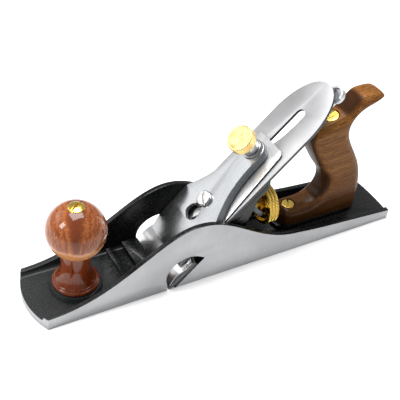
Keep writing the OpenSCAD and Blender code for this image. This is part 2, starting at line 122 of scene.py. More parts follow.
def smooth_step(low, high, value):
    t = np.clip((value - low) / (high - low), 0, 1)
    return t * t * (3 - 2 * t)


def finish_piece(piece, node, material=None):
    """Puts a piece in the place of a CAD node: it goes on the node's body, takes the given material, and the node
    is hidden.
    """
    if material is not None:
        piece.data.materials.clear()
        piece.data.materials.append(material)
    piece.data.shade_smooth()
    piece.data.set_sharp_from_angle(angle=SMOOTH_ANGLE)
    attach(piece, BODY_OF[node])
    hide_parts(node)
    return piece


def mesh_object(name, vertices, faces):
    mesh = bpy.data.meshes.new(name)
    mesh.from_pydata(vertices, [], faces)
    mesh.validate()
    piece = bpy.data.objects.new(name, mesh)
    bpy.context.scene.collection.objects.link(piece)
    return piece


def apply_modifiers(piece):
    graph = bpy.context.evaluated_depsgraph_get()
    piece.data = bpy.data.meshes.new_from_object(piece.evaluated_get(graph))
    piece.modifiers.clear()


def rounded_edges(piece, width, segments=2):
    bevel = piece.modifiers.new("Rounded edges", "BEVEL")
    bevel.width = width
    bevel.segments = segments
    bevel.limit_method = "ANGLE"
    bevel.angle_limit = BEVEL_ANGLE
    bevel.use_clamp_overlap = True
    apply_modifiers(piece)


def softened(node, material, width, segments=2):
    """A copy of a CAD node with its edges rounded over, as a real part's are."""
    piece = bpy.data.objects.new(node + "_finished", NODES[node].data.copy())
    bpy.context.scene.collection.objects.link(piece)
    build = bmesh.new()
    build.from_mesh(piece.data)
    bmesh.ops.remove_doubles(build, verts=build.verts, dist=1e-6)
    bmesh.ops.dissolve_limit(build, angle_limit=math.radians(0.5), verts=build.verts, edges=build.edges)
    build.to_mesh(piece.data)
    build.free()
    rounded_edges(piece, width, segments)
    return finish_piece(piece, node, material)


def lathe(name, profile, segments, radius_at=None):
    """A closed profile of (radius, height) points turned about local Z, in metres."""
    vertices = []
    for i in range(segments):
        angle = 2 * math.pi * i / segments
        for radius, height in profile:
            r = radius_at(radius, angle) if radius_at else radius
            vertices.append((r * math.cos(angle), r * math.sin(angle), height))
    count = len(profile)
    faces = []
    for i in range(segments):
        near, far = i * count, (i + 1) % segments * count
        for k in range(count):
            after = (k + 1) % count
            faces.append((near + k, far + k, far + after, near + after))
    return mesh_object(name, vertices, faces)


def cutter_piece(build, place):
    """Puts a bmesh into the scene at place, for cut() to take away."""
    mesh = bpy.data.meshes.new("cutter")
    build.to_mesh(mesh)
    build.free()
    cutter = bpy.data.objects.new("cutter", mesh)
    bpy.context.scene.collection.objects.link(cutter)
    cutter.matrix_world = place
    return cutter


def cylinder_cutter(radius, start, end):
    """A cylinder from start to end, for a bore."""
    start, end = Vector(start), Vector(end)
    build = bmesh.new()
    bmesh.ops.create_cone(build, cap_ends=True, segments=48, radius1=radius, radius2=radius,
                          depth=(end - start).length)
    turn = (end - start).to_track_quat("Z", "Y").to_matrix().to_4x4()
    return cutter_piece(build, Matrix.Translation((start + end) / 2) @ turn)


def box_cutter(size, place):
    """A box of the given size centred on place, for a slot."""
    build = bmesh.new()
    bmesh.ops.create_cube(build, size=1)
    return cutter_piece(build, place @ Matrix.Diagonal((*size, 1)))


def cut(piece, cutters):
    for cutter in cutters:
        tool = piece.modifiers.new("Cut", "BOOLEAN")
        tool.operation = "DIFFERENCE"
        tool.solver = "EXACT"
        tool.object = cutter
    bpy.context.view_layer.update()
    apply_modifiers(piece)
    for cutter in cutters:
        bpy.data.objects.remove(cutter)


def stand_on(axis, origin):
    """The matrix that puts local Z along axis at origin."""
    turn = Vector(axis).normalized().to_track_quat("Z", "Y").to_matrix().to_4x4()
    return Matrix.Translation(Vector(origin)) @ turn


def reach_along(node, place):
    """Lowest and highest height, and largest radius, of a CAD node in a turned piece's own frame."""
    inverse = place.inverted()
    points = [inverse @ vertex.co for vertex in NODES[node].data.vertices]
    heights = [p.z for p in points]
    return min(heights), max(heights), max(math.hypot(p.x, p.y) for p in points)


# ---- Shader building ----

class Shader:
    """One node material, built call by call."""

    def __init__(self, name, color, roughness, metallic=0.0):
        self.material = bpy.data.materials.new(name)
        self.material.use_nodes = True
        self.tree = self.material.node_tree
        self.surface = self.tree.nodes["Principled BSDF"]
        self.set("Base Color", (*color, 1))
        self.set("Roughness", roughness)
        self.set("Metallic", metallic)
        self.position = self.tree.nodes.new("ShaderNodeTexCoord").outputs["Object"]

    def set(self, socket, value):
        """A constant goes on the shader's own socket, an output is linked to it."""
        self.feed(self.surface.inputs[socket], value)

    def feed(self, socket, value):
        if isinstance(value, bpy.types.NodeSocket):
            self.tree.links.new(value, socket)
        else:
            socket.default_value = value

    def stretched(self, lengths, turn_y=0.0, turn_z=0.0, centre=(0, 0, 0)):
        """Object position divided by the feature's size along each axis, in metres, after a turn."""
        mapping = self.tree.nodes.new("ShaderNodeMapping")
        mapping.vector_type = "TEXTURE"
        mapping.inputs["Location"].default_value = centre
        mapping.inputs["Rotation"].default_value = (0, turn_y, turn_z)
        mapping.inputs["Scale"].default_value = lengths
        self.tree.links.new(self.position, mapping.inputs["Vector"])
        return mapping.outputs["Vector"]

    def noise(self, vector, detail=3.0, roughness=0.5, distortion=0.0):
        node = self.tree.nodes.new("ShaderNodeTexNoise")
        self.tree.links.new(vector, node.inputs["Vector"])
        node.inputs["Scale"].default_value = 1.0
        node.inputs["Detail"].default_value = detail
        node.inputs["Roughness"].default_value = roughness
        node.inputs["Distortion"].default_value = distortion
        return node.outputs["Fac"]

    def rings(self, vector, distortion, detail_scale):
        node = self.tree.nodes.new("ShaderNodeTexWave")
        node.wave_type = "RINGS"
        node.rings_direction = "X"
        node.wave_profile = "SAW"
        self.tree.links.new(vector, node.inputs["Vector"])
        node.inputs["Scale"].default_value = 1.0
        node.inputs["Distortion"].default_value = distortion
        node.inputs["Detail"].default_value = 3.0
        node.inputs["Detail Scale"].default_value = detail_scale
        return node.outputs["Fac"]

    def cells(self, vector):
        node = self.tree.nodes.new("ShaderNodeTexVoronoi")
        self.tree.links.new(vector, node.inputs["Vector"])
        node.inputs["Scale"].default_value = 1.0
        return node.outputs["Distance"]

    def ramp(self, value, stops):
        """stops are (place, grey or colour)."""
        node = self.tree.nodes.new("ShaderNodeValToRGB")
        self.tree.links.new(value, node.inputs["Fac"])
        band = node.color_ramp
        while len(band.elements) < len(stops):
            band.elements.new(0.5)
        for element, (place, tone) in zip(band.elements, stops):
            element.position = place
            element.color = (*tone, 1) if isinstance(tone, tuple) else (tone, tone, tone, 1)
        return node.outputs["Color"]

    def mix(self, factor, a, b):
        node = self.tree.nodes.new("ShaderNodeMix")
        node.data_type = "RGBA"
        self.feed(node.inputs[0], factor)
        self.feed(node.inputs[6], (*a, 1) if isinstance(a, tuple) else a)
        self.feed(node.inputs[7], (*b, 1) if isinstance(b, tuple) else b)
        return node.outputs[2]

    def math(self, operation, a, b=0.0):
        node = self.tree.nodes.new("ShaderNodeMath")
        node.operation = operation
        self.feed(node.inputs[0], a)
        self.feed(node.inputs[1], b)
        return node.outputs[0]

    def fade(self, value, full, none, amount):
        """A mixing factor: amount where value is at full or below, 0 at none or above."""
        return self.ramp(value, [(full, amount), (none, 0.0)])

    def rise(self, value, none, full, amount=1.0):
        """A mixing factor: 0 where value is at none or below, amount at full or above."""
        return self.ramp(value, [(none, 0.0), (full, amount)])

    def range(self, value, low, high, to_low, to_high):
        node = self.tree.nodes.new("ShaderNodeMapRange")
        self.feed(node.inputs["Value"], value)
        sockets = ("From Min", "From Max", "To Min", "To Max")
        for socket, number in zip(sockets, (low, high, to_low, to_high)):
            node.inputs[socket].default_value = number
        return node.outputs["Result"]

    def coordinates(self, vector):
        """The outputs X, Y and Z of a vector."""
        node = self.tree.nodes.new("ShaderNodeSeparateXYZ")
        self.tree.links.new(vector, node.inputs[0])
        return node.outputs

    def axis(self, name):
        """One coordinate of the object position, in metres."""
        return self.coordinates(self.position)[name]

    def surface_normal(self):
        """Which way the surface faces, in the piece's own frame."""
        node = self.tree.nodes.new("ShaderNodeTexCoord")
        return self.coordinates(node.outputs["Normal"])

    def bump(self, height, distance, strength=1.0, under=None):
        node = self.tree.nodes.new("ShaderNodeBump")
        node.inputs["Strength"].default_value = strength
        node.inputs["Distance"].default_value = distance
        self.tree.links.new(height, node.inputs["Height"])
        if under is not None:
            self.tree.links.new(under, node.inputs["Normal"])
        return node.outputs["Normal"]

    def spin(self, amount):
        """Highlights that stretch across tool marks turned about local Z."""
        tangent = self.tree.nodes.new("ShaderNodeTangent")
        tangent.direction_type = "RADIAL"
        tangent.axis = "Z"
        self.set("Tangent", tangent.outputs["Tangent"])
        self.set("Anisotropic", amount)


def brushed_metal(name, color, roughness, lengths, turn_y=0.0, marks=0.00002, cloud=0.06):
    """Ground or brushed metal: fine lines of the size given by lengths, faint clouds and specks."""
    shader = Shader(name, color, roughness, 1.0)
    lines = shader.noise(shader.stretched(lengths, turn_y), detail=4, roughness=0.65)
    clouds = shader.noise(shader.stretched((0.05, 0.03, 0.03), turn_y), detail=3)
    specks = shader.noise(shader.stretched((0.0009, 0.0009, 0.0009)), detail=2, roughness=0.7)
    dark = tuple(c * (1 - 2.2 * cloud) for c in color)
    light = tuple(min(1.0, c * (1 + cloud)) for c in color)
    tone = shader.mix(shader.rise(clouds, 0.3, 0.7), dark, light)
    lined = shader.mix(shader.fade(lines, 0.35, 0.6, 0.14), tone, dark)
    shader.set("Base Color", shader.mix(shader.rise(specks, 0.55, 0.75, 0.16), lined, light))
    lined_gloss = shader.range(lines, 0.3, 0.7, 0.06, -0.04)
    gloss = shader.math("ADD", lined_gloss, shader.range(clouds, 0.3, 0.7, 0, 0.05))
    shader.set("Roughness", shader.math("ADD", gloss, roughness))
    shader.set("Normal", shader.bump(specks, marks * 0.6, 0.6, shader.bump(lines, marks)))
    return shader.material


def turned_metal(name, color, roughness, anisotropy):
    """Brass or steel turned about local Z, with stretched highlights and slight tarnish."""
    shader = Shader(name, color, roughness, 1.0)
    tarnish = shader.noise(shader.stretched((0.006, 0.006, 0.006)), detail=5, roughness=0.6)
    fine = shader.noise(shader.stretched((0.0005, 0.0005, 0.0005)), detail=2)
    dull = (color[0] * 0.72, color[1] * 0.62, color[2] * 0.55)
    shader.set("Base Color", shader.mix(shader.rise(tarnish, 0.4, 0.8, 0.45), color, dull))
    shader.set("Roughness", shader.range(tarnish, 0.3, 0.8, roughness - 0.04, roughness + 0.12))
    shader.set("Normal", shader.bump(fine, 0.00001, 0.7))
    shader.spin(anisotropy)
    return shader.material


def japanned_iron(name, dull_beyond=None):
    """Black japan over rough casting. Past dull_beyond along X it is a greyer, drier coat."""
    shader = Shader(name, (0.012, 0.013, 0.014), 0.3)
    pits = shader.noise(shader.stretched((0.0022, 0.0022, 0.0022)), detail=5, roughness=0.6)
    sag = shader.noise(shader.stretched((0.012, 0.012, 0.012)), detail=2)
    grains = shader.cells(shader.stretched((0.0011, 0.0011, 0.0011)))
    coat = shader.mix(shader.rise(pits, 0.35, 0.7), (0.003, 0.0033, 0.0036), (0.01, 0.0105, 0.011))
    gloss = shader.range(pits, 0.3, 0.7, 0.16, 0.34)
    if dull_beyond is not None:
        dry = shader.range(shader.axis("X"), dull_beyond - 0.006, dull_beyond + 0.006, 0.0, 1.0)
        grey = shader.mix(shader.rise(grains, 0.2, 0.8), (0.006, 0.007, 0.007), (0.022, 0.024, 0.025))
        coat = shader.mix(dry, coat, grey)
        gloss = shader.math("ADD", gloss, shader.math("MULTIPLY", dry, 0.3))
    shader.set("Base Color", coat)
    shader.set("Roughness", gloss)
    shader.set("Specular IOR Level", 0.2)
    shader.set("Coat Weight", 0.12)
    shader.set("Coat Roughness", 0.1)
    skin = shader.bump(sag, 0.0006, 0.35)
    shader.set("Normal", shader.bump(grains, 0.00012, 0.5, shader.bump(pits, 0.0002, 0.7, skin)))
    return shader.material


def walnut(name):
    """Oiled walnut, grained along the plane, darker at the foot, with painted shade where it faces the toe."""
    lean = 0.12
    shader = Shader(name, (0.2, 0.09, 0.03), 0.4)
    long_figure = shader.stretched((0.09, 0.022, 0.022), lean, centre=(0.05, -0.03, 0.02))
    figure = shader.rings(long_figure, 3.0, 0.9)
    streaks = shader.noise(shader.stretched((0.03, 0.0008, 0.0008), lean),
                           detail=5, roughness=0.65, distortion=0.4)
    pores = shader.noise(shader.stretched((0.009, 0.00035, 0.00035), lean), detail=2, roughness=0.6)
    patches = shader.noise(shader.stretched((0.05, 0.02, 0.02)), detail=3)
    ground = shader.ramp(figure, [(0.0, (0.22, 0.09, 0.022)), (0.45, (0.28, 0.122, 0.032)),
                                  (0.8, (0.34, 0.15, 0.042)), (1.0, (0.23, 0.094, 0.024))])
    warm = shader.mix(shader.rise(patches, 0.35, 0.7, 0.5), ground, (0.28, 0.1, 0.023))
    streaked = shader.mix(shader.fade(streaks, 0.4, 0.62, 0.75), warm, (0.08, 0.028, 0.008))
    porous = shader.mix(shader.fade(pores, 0.36, 0.46, 0.8), streaked, (0.03, 0.011, 0.004))
    # Painted shade: faces turned towards the toe are darkened in the colour, standing in for the shade on the
    # handle's front.
    front = shader.range(shader.surface_normal()["X"], 0.35, 0.6, 0.0, 0.92)
    foot = shader.range(shader.axis("Z"), 0.022, 0.045, 0.7, 0.0)
    front_shade_and_dark_foot = shader.math("MAXIMUM", front, foot)
    shader.set("Base Color", shader.mix(front_shade_and_dark_foot, porous, (0.026, 0.009, 0.003)))
    shader.set("Roughness", shader.range(streaks, 0.3, 0.7, 0.44, 0.3))
    shader.set("Specular IOR Level", 0.06)
    shader.set("Coat Weight", shader.range(foot, 0.0, 0.7, 0.02, 0.2))
    shader.set("Coat Roughness", 0.18)
    shader.set("Normal", shader.bump(pores, 0.00008, 0.6, shader.bump(streaks, 0.00005, 0.4)))
    return shader.material


def ball_wood(shader, streaks, clouds, centre):
    """Red-brown wood with a pointed upright figure that starts at centre, dark at its heart."""
    face = shader.coordinates(shader.stretched((1, 1, 1), turn_z=FIGURE_TURN, centre=centre))
    steepness, repeats_per_metre = 4.5, 52.0
    spread = shader.math("ABSOLUTE", face["Y"])
    pointed = shader.math("SUBTRACT", shader.math("MULTIPLY", spread, steepness), face["Z"])
    wavy = shader.math("ADD", pointed, shader.range(clouds, 0.2, 0.8, -0.016, 0.016))
    nested = shader.math("FRACT", shader.math("MULTIPLY", wavy, repeats_per_metre))
    red = shader.ramp(nested, [(0.0, (0.2, 0.05, 0.014)), (0.2, (0.28, 0.08, 0.023)),
                               (0.7, (0.36, 0.118, 0.036)), (1.0, (0.25, 0.068, 0.019))])
    blurred = shader.math("ADD", pointed, shader.range(clouds, 0.2, 0.8, -0.008, 0.008))
    dark = shader.mix(shader.range(blurred, -0.005, 0.006, 0.85, 0.0), red, (0.12, 0.024, 0.007))
    return shader.mix(shader.fade(streaks, 0.38, 0.6, 0.75), dark, (0.09, 0.018, 0.006))


def varnished_knob_wood(name, low, waist, centre):
    """Varnished red-brown wood: a pale band round the lower ball, a redder base below the waist."""
    shader = Shader(name, (0.3, 0.08, 0.02), 0.16)
    height = shader.axis("Z")
    streaks = shader.noise(shader.stretched((0.0011, 0.0011, 0.022), 0.05),
                           detail=5, roughness=0.65, distortion=0.5)
    clouds = shader.noise(shader.stretched((0.009, 0.009, 0.04)), detail=4, roughness=0.6)
    upper = ball_wood(shader, streaks, clouds, centre)
    pale = shader.mix(shader.fade(streaks, 0.36, 0.62, 0.6), (0.48, 0.215, 0.085), (0.33, 0.125, 0.042))
    edge = shader.math("ADD", height, shader.range(clouds, 0.2, 0.8, -0.003, 0.003))
    pale_top, blend = waist + 0.0155, 0.0015
    on_ball = shader.mix(shader.range(edge, pale_top, pale_top + blend, 0.0, 1.0), pale, upper)
    base = shader.mix(shader.fade(streaks, 0.35, 0.6, 0.8), (0.19, 0.034, 0.006), (0.045, 0.008, 0.002))
    neck = shader.range(height, waist - 0.012, waist - 0.002, 0.0, 0.8)
    turned = shader.mix(neck, base, (0.15, 0.035, 0.009))
    above_waist = shader.range(height, waist - 0.0005, waist + 0.0005, 0.0, 1.0)
    shader.set("Base Color", shader.mix(above_waist, turned, on_ball))
    shader.set("Roughness", shader.range(streaks, 0.3, 0.7, 0.24, 0.14))
    shader.set("Specular IOR Level", 0.12)
    shader.set("Coat Weight", 0.5)
    shader.set("Coat Roughness", 0.03)
    rings = shader.noise(shader.stretched((0.5, 0.5, 0.0006)), detail=2)
    near_base = shader.range(height, low + 0.004, low + 0.016, 1.0, 0.0)
    shader.set("Normal", shader.bump(shader.math("MULTIPLY", rings, near_base), 0.0001, 0.5,
                                     shader.bump(streaks, 0.00003, 0.5)))
    return shader.material


def dark_wall_and_shade(name, color):
    """Unpolished walls of a casting or a blade: dark, dry and slightly pitted. The dark is partly the finish and
    partly painted shade on the walls.
    """
    shader = Shader(name, color, 0.5, 0.4)
    pits = shader.noise(shader.stretched((0.0015, 0.0015, 0.0015)), detail=4, roughness=0.6)
    dark = tuple(c * 0.6 for c in color)
    shader.set("Base Color", shader.mix(shader.rise(pits, 0.35, 0.7), dark, color))
    shader.set("Roughness", shader.range(pits, 0.3, 0.7, 0.42, 0.6))
    shader.set("Normal", shader.bump(pits, 0.00006, 0.6))
    return shader.material


# ---- Pieces ----

def ground_faces(piece, steel_slot):
    """The sides, sole and ends of the casting are ground; the rest keeps its japan."""
    near = 0.0004
    side = cad_high.y - near
    toe_centre = cad_high.x - TOE_RADIUS
    for face in piece.data.polygons:
        centre, normal = face.center, face.normal
        on_side = abs(centre.y) > side and abs(normal.y) > 0.8
        on_sole = centre.z < 0.0003 and normal.z < -0.8
        from_toe_centre = math.hypot(centre.x - toe_centre, centre.y)
        on_toe = centre.x > toe_centre and from_toe_centre > TOE_RADIUS - near
        on_heel = centre.x < cad_low.x + 0.0025 and normal.x < -0.8
        on_end = abs(normal.z) < 0.4 and (on_toe or on_heel)
        if on_side or on_sole or on_end:
            face.material_index = steel_slot


def dark_and_shaded_wall_faces(piece, shaded_wall_slot, from_s=-1.0):
    """Faces that stand across the bed, past from_s metres up it, get the dark unpolished finish, which also paints
    their shade.
    """
    for face in piece.data.polygons:
        if abs(face.normal.dot(BED_OFF)) < 0.35 and (face.center - BED_FOOT).dot(BED_UP) > from_s:
            face.material_index = shaded_wall_slot


def make_casting():
    """The body, japanned inside and ground on its sides, sole and ends."""
    piece = softened("body", japanned_iron("japanned_casting", DULL_BEYOND), 0.0006)
    ground = brushed_metal("ground_sides", (0.385, 0.39, 0.4), 0.42, (0.0006, 0.0006, 0.012), cloud=0.07)
    piece.data.materials.append(ground)
    ground_faces(piece, 1)


def knob_profile(low, ball_z, ball_r, top):
    """Closed outline of the knob in millimetres, from the bore at its foot to the recess of its nut."""
    bore = 3.3
    join_z = ball_z - math.sqrt(ball_r**2 - NECK_RADIUS**2)
    join_a = math.degrees(math.asin((join_z - ball_z) / ball_r))
    rim_a = math.degrees(math.acos(NUT_RECESS_RADIUS / ball_r))
    recess_z = top - NUT_RECESS_DEPTH
    foot = [(bore, low), (16.8, low), (17.5, low + 0.5), (17.95, low + 1.4), (17.95, low + 2.4),
            (17.5, low + 3.3), (16.8, low + 3.75), (16.45, low + 3.8), (16.35, low + 4.1),
            (16.5, low + 4.35), (16.2, low + 4.9), (15.6, low + 5.3), (15.3, low + 5.35),
            (15.15, low + 5.6)]
    cove = bezier((15.2, low + 5.8), (13.5, low + 8.5), (NECK_RADIUS, low + 12),
                  (NECK_RADIUS - 0.4, low + 21), 16)
    ball = arc((0, ball_z), ball_r, join_a, rim_a, 48)
    return foot + cove + ball + [(NUT_RECESS_RADIUS, recess_z), (bore, recess_z)]


def make_knob():
    low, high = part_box("front_knob")
    centre_x = (low.x + high.x) / 2
    ball_r = (high.x - low.x) / 2 / MM
    ball_z = high.z / MM - math.sqrt(ball_r**2 - NUT_RECESS_RADIUS**2)
    profile = knob_profile(low.z / MM, ball_z, ball_r, high.z / MM)
    waist = (ball_z - math.sqrt(ball_r**2 - NECK_RADIUS**2)) * MM
    figure = (centre_x, 0, (ball_z - FIGURE_DROP) * MM)
    wood = varnished_knob_wood("varnished_wood", low.z, waist, figure)
    knob = lathe("front_knob_finished", [(r * MM, z * MM) for r, z in profile], 144)
    knob.data.transform(Matrix.Translation((centre_x, 0, 0)))
    finish_piece(knob, "front_knob", wood)


def make_knob_nut(brass):
    """Domed nut with a screwdriver slot across it."""
    low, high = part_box("knob_nut")
    centre_x = (low.x + high.x) / 2
    radius = (high.x - low.x) / 2
    bore, inner, hole_top = 0.003, 0.00005, low.z + 0.0015
    dome_z = high.z - NUT_DOME_RADIUS
    edge = dome_z + math.sqrt(NUT_DOME_RADIUS**2 - radius**2)
    profile = [(bore, low.z), (radius - 0.0003, low.z), (radius, low.z + 0.0003), (radius, edge - 0.0001)]
    steps = 13
    for i in range(steps + 1):
        r = (radius - 0.0002) * (1 - i / steps)
        profile.append((max(r, inner), dome_z + math.sqrt(NUT_DOME_RADIUS**2 - r * r)))
    profile += [(inner, hole_top), (bore, hole_top)]
    nut = lathe("knob_nut_finished", profile, 96)
    slot_place = Matrix.Translation((0, 0, high.z)) @ Matrix.Rotation(NUT_SLOT_TURN, 4, "Z")
    cut(nut, [box_cutter(NUT_SLOT, slot_place)])
    rounded_edges(nut, 0.00018)
    nut.matrix_world = Matrix.Translation((centre_x, 0, 0))
    finish_piece(nut, "knob_nut", brass)


def tote_outline(low_z):
    """Side view of the handle as (x, z) in millimetres, anticlockwise from the toe of its foot."""
    curves = [
        ((-58.5, low_z), (-57.5, 17), (-59, 24.5), (-64, 25), 14),
        ((-64, 25), (-69, 25.3), (-74, 25.1), (-79, 25.3), 12),
        ((-79, 25.3), (-90, 25.8), (-98, 32), (-98.5, 43), 24),
        ((-98.5, 43), (-99, 52), (-91, 58), (-86, 66), 22),
        ((-86, 66), (-81, 74), (-74, 84), (-70.5, 93), 24),
        ((-70.5, 93), (-68.5, 99), (-72, 104.5), (-79, 106), 16),
        ((-79, 106), (-86, 108), (-93, 110), (-100, 112.5), 18),
        ((-100, 112.5), (-107, 115.5), (-110.5, 127), (-119, 127.5), 22),
        ((-119, 127.5), (-127, 128), (-135, 128), (-137.5, 124.5), 20),
        ((-137.5, 124.5), (-138.5, 120.5), (-130, 117.5), (-123, 115), 20),
        ((-123, 115), (-114, 111.5), (-109.5, 104.5), (-110, 96), 20),
        ((-110, 96), (-110.5, 85), (-122.5, 73), (-130, 57), 36),
        ((-130, 57), (-135, 46), (-137.5, 35), (-138, 22), 28),
        ((-138, 22), (-138.2, 18), (-138.4, 14), (-138.5, low_z), 10),
        ((-138.5, low_z), (-113, low_z), (-86, low_z), (-58.5, low_z), 60),
    ]
    return [point for curve in curves for point in bezier(*curve)]


def inward_normals(loop):
    """Unit normals pointing into an anticlockwise or clockwise loop of points."""
    ahead, behind = np.roll(loop, -1, axis=0), np.roll(loop, 1, axis=0)
    along = ahead - behind
    normals = np.stack([-along[:, 1], along[:, 0]], axis=1)
    normals /= np.linalg.norm(normals, axis=1)[:, None]
    area = np.sum(loop[:, 0] * ahead[:, 1] - ahead[:, 0] * loop[:, 1])
    return normals if area > 0 else -normals


def inside(points, loop):
    """Even-odd test of points in a closed loop."""
    result = np.zeros(len(points), bool)
    for (x0, z0), (x1, z1) in zip(loop, np.roll(loop, -1, axis=0)):
        crosses = (z0 > points[:, 1]) != (z1 > points[:, 1])
        with np.errstate(divide="ignore", invalid="ignore"):
            at = (x1 - x0) * (points[:, 1] - z0) / (z1 - z0) + x0
        result ^= crosses & (points[:, 0] < at)
    return result


def depth_inside(points, loop):
    """Distance from each point to the closed loop."""
    best = np.full(len(points), 1e9)
    for start, end in zip(loop, np.roll(loop, -1, axis=0)):
        along = end - start
        share = np.clip(((points - start) @ along) / (along @ along), 0, 1)
        best = np.minimum(best, np.linalg.norm(points - start - share[:, None] * along, axis=1))
    return best


def make_tote(wood):
    """Handle with crowned sides that fall away to a crisp edge, and a square foot."""
    low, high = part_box("tote")
    half_width = (high.y - low.y) / 2 / MM
    edge_half = half_width - 3.5
    blend_depth, edge_inset = 8.0, 0.7
    rim = np.array(tote_outline(low.z / MM))
    normals = inward_normals(rim)
    on_foot = rim[:, 1] < low.z / MM + 0.01
    plate = rim + normals * np.where(on_foot, 0.0, edge_inset)[:, None]
    plate[:, 1] = np.maximum(plate[:, 1], low.z / MM)

    rings = []
    for ring_depth in (0.35, 0.8, 1.4, 2.2, 3.2, 4.4):
        ring = plate + normals * ring_depth
        keep = inside(ring, plate) & (depth_inside(ring, plate) > 0.92 * ring_depth)
        rings.append(ring[keep])
    spacing = 1.5
    grid_x, grid_z = np.meshgrid(np.arange(low.x / MM, high.x / MM, spacing),
                                 np.arange(low.z / MM, high.z / MM, spacing))
    grid = np.stack([grid_x.ravel(), grid_z.ravel()], axis=1)
    grid = grid[inside(grid, plate)]
    grid = grid[depth_inside(grid, plate) > 5.4]
    points = np.concatenate([plate, *rings, grid])
    loop = list(range(len(plate)))
    flat, _, triangles, _, _, _ = delaunay_2d_cdt([Vector(p) for p in points], [], [loop], 1, 1e-4)
    flat = np.array([tuple(p) for p in flat])

    depth = depth_inside(flat, plate)
    fall = 1 - (1 - np.clip(depth / blend_depth, 0, 1)) ** 2.3
    half = edge_half + (half_width - edge_half) * fall
    heel_end, toe_end, run_out = -138.0, -59.5, 6.5
    along, above = flat[:, 0], flat[:, 1] - low.z / MM
    foot = ((1 - smooth_step(3.0, 9.0, above)) * smooth_step(heel_end, heel_end + run_out, along)
            * (1 - smooth_step(toe_end - run_out, toe_end, along)))
    half = half + (half_width - half) * foot

    count = len(flat)
    vertices = [(x * MM, h * MM, z * MM) for (x, z), h in zip(flat, half)]
    vertices += [(x * MM, -h * MM, z * MM) for (x, z), h in zip(flat, half)]
    faces = [tuple(t) for t in triangles] + [tuple(count + i for i in reversed(t)) for t in triangles]
    edge = [int(np.argmin(np.linalg.norm(flat - point, axis=1))) for point in plate]
    bands = [edge]
    for share, inset in ((0.6, 0.12), (0.0, 0.0), (-0.6, 0.12)):
        start = len(vertices)
        for i, point in enumerate(rim):
            x, z = point + normals[i] * (0.0 if on_foot[i] else inset)
            vertices.append((x * MM, share * half[edge[i]] * MM, max(z * MM, low.z)))
        bands.append(list(range(start, start + len(rim))))
    bands.append([count + i for i in edge])
    for upper, lower in zip(bands, bands[1:]):
        for i in range(len(rim)):
            j = (i + 1) % len(rim)
            faces.append((upper[i], upper[j], lower[j], lower[i]))
    tote = mesh_object("tote_finished", vertices, faces)
    build = bmesh.new()
    build.from_mesh(tote.data)
    bmesh.ops.recalc_face_normals(build, faces=build.faces)
    build.to_mesh(tote.data)
    build.free()
    cut(tote, tote_bores())
    finish_piece(tote, "tote", wood)


def tote_bores():
    """Counterbore and bore of the rod, spot face and bore of the toe screw."""
    rod_low, rod_high = Vector((-0.131, 0, 0.010)), Vector((-0.092, 0, 0.111))
    lean = (rod_high - rod_low).normalized()
    screw_x = sum(corner.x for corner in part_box("tote_screw")) / 2
    counterbore_r, rod_bore_r, spot_face_r, screw_bore_r = 0.0069, 0.0033, 0.0063, 0.0025
    return [
        cylinder_cutter(counterbore_r, rod_high - lean * 0.006, rod_high + lean * 0.02),
        cylinder_cutter(rod_bore_r, rod_low - lean * 0.01, rod_high),
        cylinder_cutter(spot_face_r, (screw_x, 0, 0.022), (screw_x, 0, 0.04)),
        cylinder_cutter(screw_bore_r, (screw_x, 0, 0.005), (screw_x, 0, 0.03)),
    ]


def knurl(depth, teeth, from_radius):
    """Radius after pressing teeth into everything beyond from_radius."""
    def radius_at(radius, angle):
        if radius < from_radius:
            return radius
        wave = 0.5 - 0.5 * math.cos(teeth * angle)
        return radius - depth * wave
    return radius_at


def make_thumbscrew_head(brass):
    """Knurled head with a faintly dished, closed face."""
    joint = JOINTS["thumbscrew_turn"]
    place = stand_on(joint["axis"], joint["pos_m"])
    low, high, radius = reach_along("thumbscrew_head", place)
    rim = radius - 0.0001
    shoulder, inner, hole_top, dish = 0.0008, 0.00005, high - 0.001, 0.00035
    profile = [(STUD_BORE, low), (rim - 0.0012, low), (rim - 0.0007, low + 0.0002), (rim, low + shoulder)]
    rows = 6
    for i in range(1, rows):
        profile.append((rim, low + shoulder + (high - low - 2 * shoulder) * i / rows))
    profile += [(rim, high - shoulder), (rim - 0.0007, high - 0.0002), (rim - 0.0013, high)]
    profile += [(rim * k / 10, high - dish * math.sin(math.pi * k / 10) ** 2) for k in range(8, 0, -1)]
    profile += [(inner, high), (inner, hole_top), (STUD_BORE, hole_top)]
    teeth = knurl(0.00045, THUMBSCREW_TEETH, rim - 0.0001)
    head = lathe("thumbscrew_head_finished", profile, THUMBSCREW_TEETH * 6, teeth)
    head.matrix_world = place
    finish_piece(head, "thumbscrew_head", brass)


